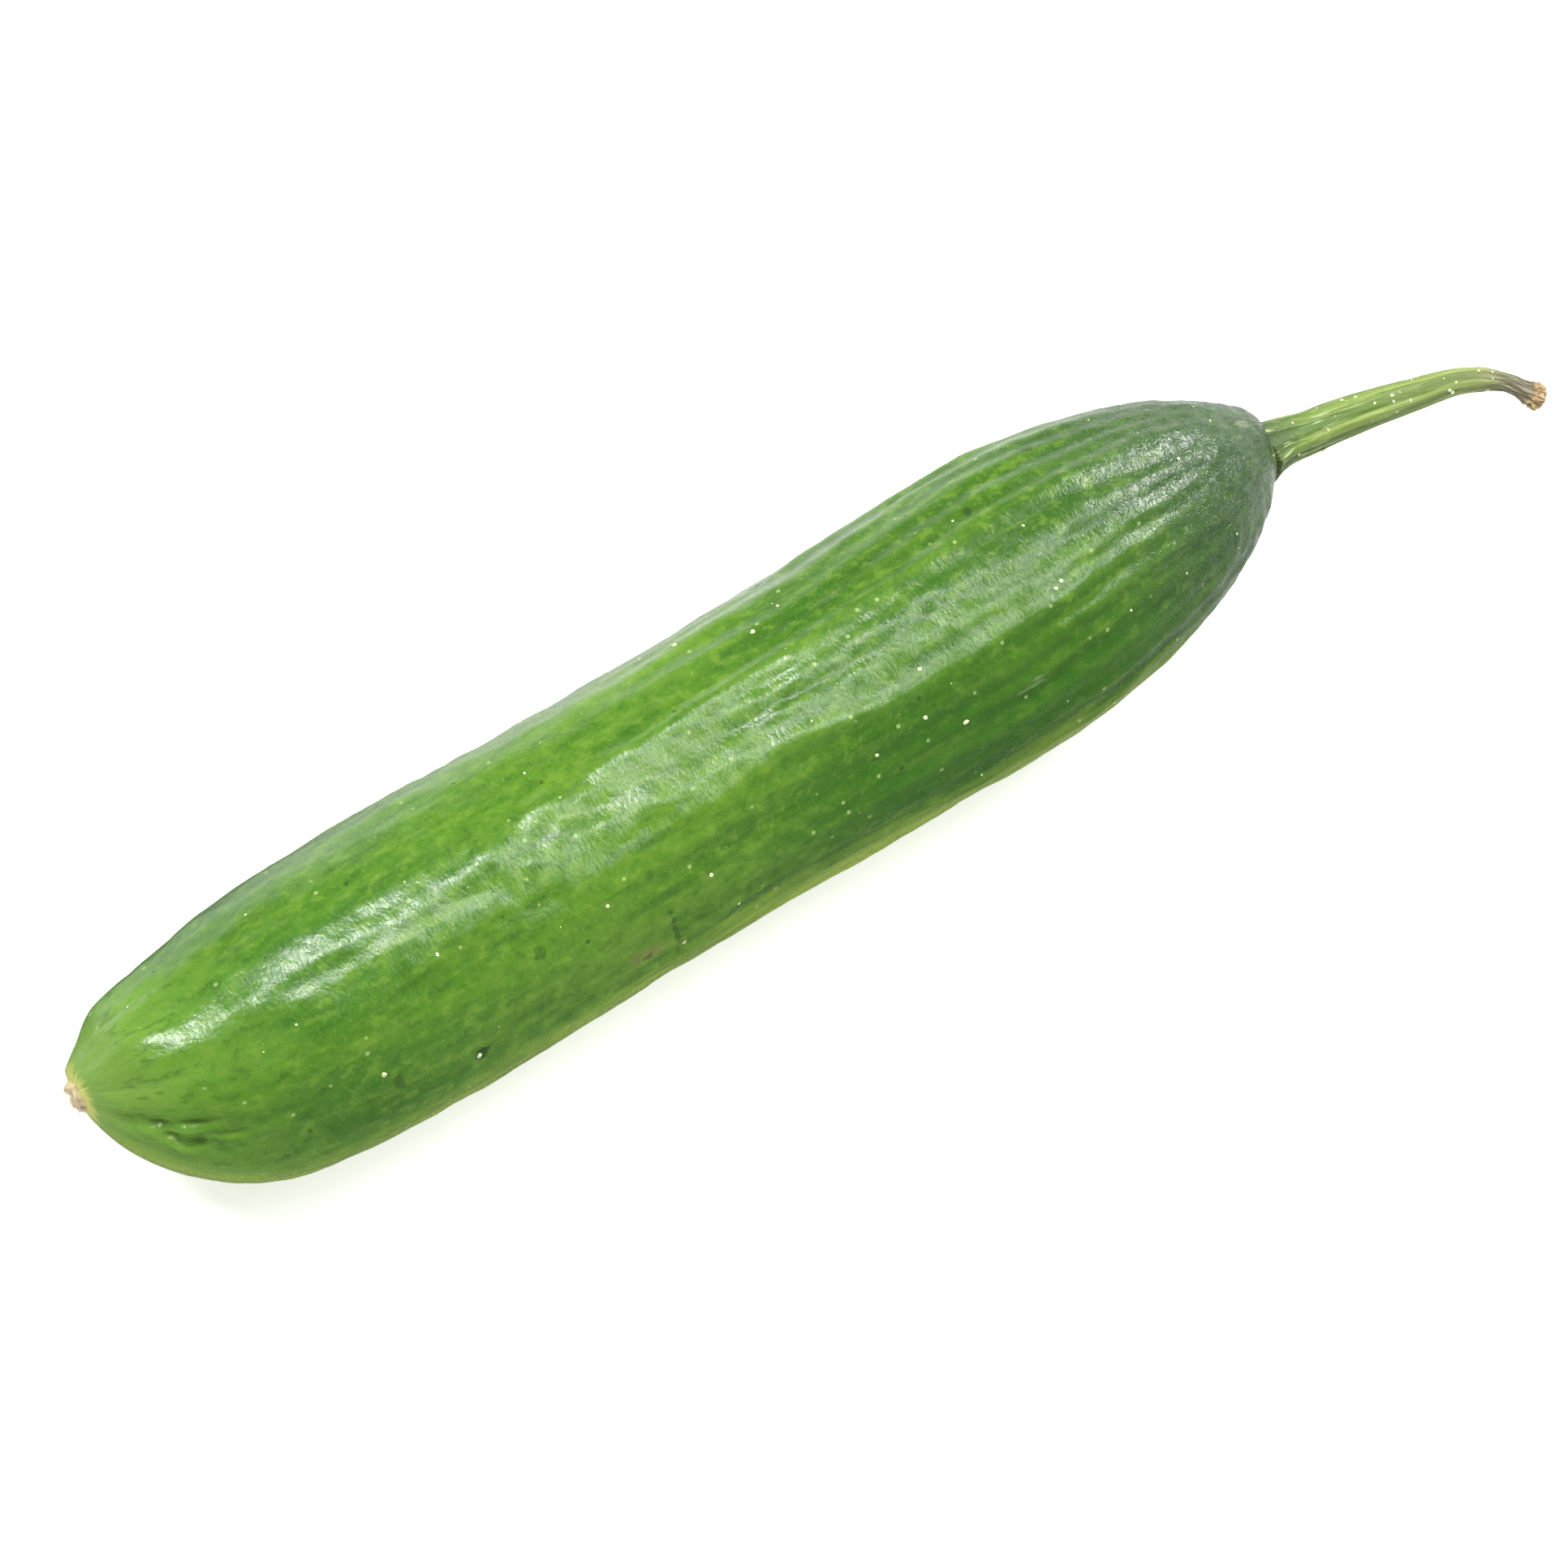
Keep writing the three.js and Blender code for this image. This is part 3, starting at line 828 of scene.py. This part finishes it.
def skin_material():
    """Waxy green skin: paler and yellower to the blossom tip, dark and dusted grey to the stem, in long
    uneven stripes with mottling, pale flecks, and a satin surface broken by fine wrinkles."""
    made, tree, shader = material("cucumber_skin")
    along = attribute(tree, "from_blossom")
    ridge = attribute(tree, "ridge")
    under = attribute(tree, "underside")
    side_shade = attribute(tree, "painted_side_shade")
    place = attribute(tree, "lengthwise", "Vector")

    patch = noise_value(tree, place, 2.0, 0.011, 4.0)
    shifted = maths(tree, "ADD", along, swing(tree, patch, 0.22))
    base = ramp(tree, shifted, [
        (0.0, (0.155, 0.285, 0.045)),
        (0.05, (0.095, 0.220, 0.024)),
        (0.12, (0.042, 0.130, 0.011)),
        (0.22, (0.048, 0.140, 0.012)),
        (0.36, (0.072, 0.172, 0.014)),
        (0.56, (0.052, 0.138, 0.012)),
        (0.78, (0.032, 0.095, 0.009)),
        (0.90, (0.022, 0.064, 0.011)),
        (1.0, (0.018, 0.045, 0.016)),
    ])
    middle_part = ranged(tree, along, 0.06, 0.22)
    broad = ranged(tree, noise_value(tree, place, 9.0, 0.0042, 3.0), 0.36, 0.64)
    colour = blended(tree, maths(tree, "MULTIPLY", broad, 0.35), base, BROAD_PALE)
    stripe = noise_value(tree, place, 10.0, 0.0018, 4.0, 0.6)
    dark = maths(tree, "MULTIPLY", ranged(tree, stripe, 0.50, 0.34, 0.0, 0.45), middle_part)
    colour = blended(tree, dark, colour, STRIPE_DARK)
    light = maths(tree, "MULTIPLY", ranged(tree, stripe, 0.54, 0.70, 0.0, 0.28), middle_part)
    colour = blended(tree, light, colour, STRIPE_PALE)
    # Painted shade darkens the rib valleys and painted light makes the rib crests paler, as the light from
    # above falls on the relief.
    valley = ranged(tree, ridge, 0.50, 0.0, 0.0, 0.62)
    colour = blended(tree, valley, colour, VALLEY_PAINTED_SHADE)
    lit_crest = ranged(tree, ridge, 0.55, 0.95, 0.0, 0.28)
    colour = blended(tree, lit_crest, colour, CREST_PAINTED_LIGHT)
    mottle = noise_value(tree, place, 1.4, 0.0016, 5.0, 0.65)
    colour = blended(tree, ranged(tree, mottle, 0.50, 0.66, 0.0, 0.50), colour, MOTTLE_PALE)
    colour = blended(tree, ranged(tree, mottle, 0.48, 0.34, 0.0, 0.48), colour, MOTTLE_DARK)
    grain = noise_value(tree, place, 1.2, 0.00042, 3.0, 0.6)
    colour = blended(tree, ranged(tree, grain, 0.54, 0.72, 0.0, 0.24), colour, GRAIN_PALE)
    # Painted shade: a darker band along the lower near side of the stem half, where the light from above
    # falls least.
    colour = blended(tree, maths(tree, "MULTIPLY", side_shade, 0.62), colour, SIDE_SHADE_GREEN)
    # A pale yellow belly on the underside: partly the fruit's own ground colour, partly a painted glow of
    # light from the floor shining through the lower edge.
    streaked = maths(tree, "ADD", under, swing(tree, stripe, 1.1))
    streaked = maths(tree, "ADD", streaked, swing(tree, patch, 0.9))
    belly_and_glow = ranged(tree, streaked, 0.10, 1.0, 0.0, 0.70)
    belly_and_glow = maths(tree, "MULTIPLY", belly_and_glow, ranged(tree, along, 0.70, 0.96, 1.0, 0.30))
    colour = blended(tree, belly_and_glow, colour, BELLY_AND_GLOW_YELLOW)
    fleck = node(tree, "ShaderNodeTexVoronoi", {}, Vector=place, Scale=380.0, Randomness=1.0)
    chosen = node(tree, "ShaderNodeSeparateColor", {}, Color=fleck.outputs["Color"]).outputs["Red"]
    away = fleck.outputs["Distance"]
    speck = maths(tree, "MULTIPLY", ranged(tree, away, 0.14, 0.07), ranged(tree, chosen, 0.6, 0.62))
    colour = blended(tree, maths(tree, "MULTIPLY", speck, 0.5), colour, FLECK_PALE)
    pit = maths(tree, "MULTIPLY", ranged(tree, away, 0.16, 0.08), ranged(tree, chosen, 0.10, 0.08))
    colour = blended(tree, maths(tree, "MULTIPLY", pit, 0.7), colour, PIT_DARK)
    grey_end = ranged(tree, along, 0.78, 0.95, 0.0, 0.62)
    colour = blended(tree, grey_end, colour, SHOULDER_DARK)
    dust_noise = noise_value(tree, place, 1.2, 0.0013, 5.0, 0.65)
    dust_grain = ranged(tree, dust_noise, 0.36, 0.66, 0.02, 0.46)
    dust = maths(tree, "MULTIPLY", ranged(tree, along, 0.76, 1.0), dust_grain)
    colour = blended(tree, dust, colour, WAX_DUST)
    uneven = swing(tree, mottle, 5.0)
    colour = with_marks(tree, colour, place, uneven)
    from_scar = maths(tree, "ADD", attribute(tree, "from_scar"), uneven)
    colour = blended(tree, ranged(tree, from_scar, 10.0, 3.0, 0.0, 0.5), colour, TIP_GREEN)
    colour = blended(tree, ranged(tree, from_scar, 4.8, 2.6, 0.0, 0.85), colour, TIP_YELLOW)
    broken = ranged(tree, mottle, 0.3, 0.6, 0.9, 0.5)
    seam = maths(tree, "MULTIPLY", ranged(tree, along, 0.9905, 0.996), broken)
    colour = blended(tree, seam, colour, SEAM_DARK)
    tree.links.new(colour, shader.inputs["Base Color"])

    shoulder = ranged(tree, along, 0.76, 0.97)
    crackle = maths(tree, "MULTIPLY", shoulder, 1.3)
    relief = use_group(tree, wrinkles, Vector=place, Size=0.00046, Crackle=crackle)
    add_relief(tree, shader, relief["Height"], 0.75, 0.000065)
    rough = ranged(tree, relief["Grain"], 0.34, 0.66, 0.17, 0.29)
    rough = maths(tree, "ADD", rough, maths(tree, "MULTIPLY", dust, 0.12))
    tree.links.new(rough, shader.inputs["Roughness"])
    let_light_in(shader, (0.5, 1.0, 0.2), 0.0018)
    return made


def stem_material():
    """Fibrous stalk: dark at its foot with pale dashes, green with fine pale lines and lighter ribs, then
    olive, and grey brown and shrivelled before the corky cut."""
    made, tree, shader = material("stem_stalk")
    along = attribute(tree, "from_foot")
    cut = attribute(tree, "cut")
    place = attribute(tree, "lengthwise", "Vector")
    wide = noise_value(tree, place, 2.0, 0.004, 3.0)
    shifted = maths(tree, "ADD", along, swing(tree, wide, 0.22))
    base = ramp(tree, shifted, [
        (0.0, (0.030, 0.052, 0.016)),
        (0.10, (0.044, 0.084, 0.015)),
        (0.20, (0.070, 0.135, 0.016)),
        (0.42, (0.098, 0.165, 0.022)),
        (0.70, (0.140, 0.190, 0.045)),
        (0.84, (0.170, 0.180, 0.070)),
        (0.92, (0.120, 0.100, 0.060)),
        (1.0, (0.150, 0.115, 0.070)),
    ])
    rib = attribute(tree, "rib")
    past_foot = ranged(tree, along, 0.04, 0.26, 0.15, 1.0)
    raised = maths(tree, "MULTIPLY", ranged(tree, rib, 0.35, 1.0, 0.0, 0.40), past_foot)
    colour = blended(tree, raised, base, RIB_PALE)
    colour = blended(tree, ranged(tree, rib, 0.45, 0.0, 0.0, 0.32), colour, RIB_SHADE)
    strands = noise_value(tree, place, 22.0, 0.0005, 4.0, 0.6)
    colour = blended(tree, ranged(tree, strands, 0.54, 0.66, 0.0, 0.62), colour, STRAND_PALE)
    colour = blended(tree, ranged(tree, strands, 0.47, 0.34, 0.0, 0.60), colour, STRAND_DARK)
    blotch = noise_value(tree, place, 2.5, 0.0014, 4.0, 0.65)
    colour = blended(tree, ranged(tree, blotch, 0.55, 0.72, 0.0, 0.45), colour, BLOTCH_PALE)
    dash = ranged(tree, noise_value(tree, place, 12.0, 0.00034, 2.0), 0.60, 0.68)
    near_foot = maths(tree, "MULTIPLY", dash, ranged(tree, along, 0.45, 0.12, 0.25, 1.0))
    colour = blended(tree, maths(tree, "MULTIPLY", near_foot, 0.7), colour, DASH_PALE)
    dry = ranged(tree, along, 0.76, 0.92)
    furrow = noise_value(tree, place, 6.0, 0.0006, 3.0)
    dry_tone = ramp(tree, furrow, [
        (0.34, (0.035, 0.030, 0.020)),
        (0.52, (0.16, 0.14, 0.085)),
        (0.7, (0.36, 0.33, 0.25)),
    ])
    colour = blended(tree, maths(tree, "MULTIPLY", dry, 0.85), colour, dry_tone)
    crumbs = noise_value(tree, place, 1.2, 0.0005, 4.0, 0.65)
    corky = ramp(tree, crumbs, [
        (0.34, (0.075, 0.035, 0.018)),
        (0.5, (0.33, 0.22, 0.11)),
        (0.66, (0.60, 0.50, 0.25)),
    ])
    colour = blended(tree, cut, colour, corky)
    tree.links.new(colour, shader.inputs["Base Color"])
    relief = use_group(tree, wrinkles, Vector=place, Size=0.00036, Crackle=dry)
    height = maths(tree, "ADD", relief["Height"], maths(tree, "MULTIPLY", strands, 2.0))
    add_relief(tree, shader, height, 0.6, 0.00014)
    tree.links.new(ranged(tree, relief["Grain"], 0.3, 0.75, 0.46, 0.68), shader.inputs["Roughness"])
    let_light_in(shader, (0.6, 1.0, 0.2), 0.0012)
    return made


def cork_material():
    """Dry corky tissue, yellow where it is thin and pinkish brown where it has dried."""
    made, tree, shader = material("dry_cork")
    place = node(tree, "ShaderNodeTexCoord", {}).outputs["Object"]
    crumbs = noise_value(tree, place, 1.0, 0.0009, 4.0, 0.6)
    colour = ramp(tree, crumbs, [
        (0.30, (0.27, 0.17, 0.11)),
        (0.44, (0.42, 0.33, 0.21)),
        (0.56, (0.52, 0.46, 0.24)),
        (0.72, (0.60, 0.57, 0.26)),
    ])
    tree.links.new(colour, shader.inputs["Base Color"])
    add_relief(tree, shader, crumbs, 0.8, 0.0002)
    tree.links.new(ranged(tree, crumbs, 0.3, 0.7, 0.5, 0.75), shader.inputs["Roughness"])
    return made


def spot_material():
    """Chalky pale spots, each a little different."""
    made, tree, shader = material("pale_spots")
    place = node(tree, "ShaderNodeTexCoord", {}).outputs["Object"]
    shade = noise_value(tree, place, 1.0, 0.003, 2.0)
    colour = ramp(tree, shade, [
        (0.35, (0.42, 0.46, 0.24)),
        (0.6, (0.62, 0.66, 0.42)),
        (0.8, (0.74, 0.74, 0.56)),
    ])
    tree.links.new(colour, shader.inputs["Base Color"])
    grain = noise_value(tree, place, 1.0, 0.0002, 2.0)
    add_relief(tree, shader, grain, 0.4, 0.00005)
    tree.links.new(ranged(tree, grain, 0.3, 0.7, 0.5, 0.7), shader.inputs["Roughness"])
    return made


# Towards this side the floor and the room look bright in the gloss of the skin.
FAR_SIDE = (0.5, 0.866, 0.0)
FLOOR_GLOW = 0.60
FLOOR_NEAR_GLOSS = 0.15
FLOOR_FAR_GLOSS = 1.3


def floor_material():
    """Matt white, lit a little from below like a light table, and dim in the gloss of what lies on it."""
    made, tree, shader = material("white_paper")
    place = node(tree, "ShaderNodeTexCoord", {}).outputs["Object"]
    shade = noise_value(tree, place, 1.0, 0.05, 2.0)
    colour = ramp(tree, shade, [(0.0, (0.74, 0.74, 0.74)), (1.0, (0.77, 0.77, 0.77))])
    tree.links.new(colour, shader.inputs["Base Color"])
    shader.inputs["Roughness"].default_value = 0.9
    shader.inputs["Specular IOR Level"].default_value = 0.1
    rays = node(tree, "ShaderNodeLightPath").outputs
    shader.inputs["Emission Color"].default_value = (1, 1, 1, 1)
    shader.inputs["Emission Strength"].default_value = FLOOR_GLOW
    far = vector_maths(tree, "DOT_PRODUCT", place, FAR_SIDE, "Value")
    in_gloss = ranged(tree, far, -0.01, 0.05, FLOOR_NEAR_GLOSS, FLOOR_FAR_GLOSS)
    dim = node(tree, "ShaderNodeEmission", {}, Color=(1, 1, 1, 1), Strength=in_gloss)
    seen = node(tree, "ShaderNodeMixShader", {}, _0=rays["Is Glossy Ray"])
    tree.links.new(shader.outputs[0], seen.inputs[1])
    tree.links.new(dim.outputs[0], seen.inputs[2])
    surface = next(n for n in tree.nodes if n.type == "OUTPUT_MATERIAL").inputs["Surface"]
    tree.links.new(seen.outputs[0], surface)
    return made


fruit = build_fruit()
stem = build_stem()
scar = build_scar()
skin_spots = build_skin_spots()
stem_spots = build_stem_spots()

fruit.data.materials.append(skin_material())
stem.data.materials.append(stem_material())
scar.data.materials.append(cork_material())
pale = spot_material()
skin_spots.data.materials.append(pale)
stem_spots.data.materials.append(pale)

# ---------------------------------------------------------------- floor, light and camera

FLOOR_HALF = 3.0
floor_mesh = bpy.data.meshes.new("floor")
floor_corners = [(-1, -1), (1, -1), (1, 1), (-1, 1)]
floor_mesh.from_pydata([(x * FLOOR_HALF, y * FLOOR_HALF, 0) for x, y in floor_corners], [], [(0, 1, 2, 3)])
floor = bpy.data.objects.new("floor", floor_mesh)
bpy.context.scene.collection.objects.link(floor)
floor_mesh.materials.append(floor_material())

box_low, box_high = (Vector(corner) for corner in cad_box)
box_middle = (box_low + box_high) / 2

# The camera looks down on the fruit from the near left, its lens long. Degrees, metres, millimetres.
VIEW_TURN = -34.5
VIEW_HEIGHT = 60.0
VIEW_DISTANCE = 0.804
LENS = 150.0
AIM = box_middle + Vector((-0.0054, -0.0017, -0.0089))


def direction(turn, height):
    """The way out from the object towards a place at that turn and height, in degrees."""
    a, e = math.radians(turn), math.radians(height)
    return Vector((math.sin(a) * math.cos(e), -math.cos(a) * math.cos(e), math.sin(e)))


def point_at(thing, spot, target):
    """Puts a camera or light at a spot, looking at the target."""
    thing.location = spot
    thing.rotation_euler = (target - spot).to_track_quat("-Z", "Y").to_euler()
    bpy.context.scene.collection.objects.link(thing)


camera_data = bpy.data.cameras.new("camera")
camera_data.lens = LENS
camera_data.sensor_width = 36.0
camera = bpy.data.objects.new("camera", camera_data)
point_at(camera, AIM + direction(VIEW_TURN, VIEW_HEIGHT) * VIEW_DISTANCE, AIM)
bpy.context.scene.camera = camera


def soft_light(name, spot, size, power, turned):
    """A soft box: a wide flat light at a spot. It faces the object, or straight down if it is turned."""
    data = bpy.data.lights.new(name, "AREA")
    data.shape = "RECTANGLE"
    data.size, data.size_y = size
    data.energy = power
    light = bpy.data.objects.new(name, data)
    point_at(light, Vector(spot), box_middle)
    if turned is not None:
        light.rotation_euler = (0, 0, math.radians(turned))


# Name, spot, width and depth, power in watts, and turn in degrees if it is turned.
SOFT_BOXES = [
    ("overhead_softbox", (0.30, -0.14, 0.92), (0.58, 0.12), 2.6, -48.0),
    ("tip_softbox", (0.01, 0.15, 0.92), (0.32, 0.12), 4.3, -36.0),
    ("left_softbox", (-0.43, 0.27, 0.80), (0.22, 0.22), 4.8, None),
    ("front_softbox", (0.42, -0.44, 0.86), (0.36, 0.26), 1.7, None),
    ("right_softbox", (0.72, 0.03, 0.62), (0.48, 0.26), 8.2, None),
]
for soft_box in SOFT_BOXES:
    soft_light(*soft_box)

# The room is plain white to look at and as a fill light. In the skin's gloss only its lower part
# shows, as under a dark ceiling, so that the softboxes stand out.
ROOM_FILL = 0.49
ROOM_FAR_GLOSS = 1.15
ROOM_NEAR_GLOSS = 0.25
ROOM_HIGH_GLOSS = 0.08
world = bpy.data.worlds.new("pale_room")
world.use_nodes = True
room = world.node_tree
backdrop = room.nodes["Background"]
backdrop.inputs["Color"].default_value = (1, 1, 1, 1)
rays = node(room, "ShaderNodeLightPath").outputs
way = node(room, "ShaderNodeTexCoord").outputs["Generated"]
upward = node(room, "ShaderNodeSeparateXYZ", {}, Vector=way).outputs["Z"]
far = vector_maths(room, "DOT_PRODUCT", way, FAR_SIDE, "Value")
low_gloss = ranged(room, far, -0.1, 0.5, ROOM_NEAR_GLOSS, ROOM_FAR_GLOSS)
gloss = ranged(room, upward, 0.1, 0.5, low_gloss, ROOM_HIGH_GLOSS)
fill = maths(room, "ADD", ROOM_FILL, maths(room, "MULTIPLY", rays["Is Camera Ray"], 1 - ROOM_FILL))
fill_share = maths(room, "SUBTRACT", 1.0, rays["Is Glossy Ray"])
lit = maths(room, "MULTIPLY", fill, fill_share)
glossy = maths(room, "MULTIPLY", gloss, rays["Is Glossy Ray"])
strength = maths(room, "ADD", lit, glossy)
room.links.new(strength, backdrop.inputs["Strength"])
bpy.context.scene.world = world
bpy.context.scene.view_settings.view_transform = "Standard"
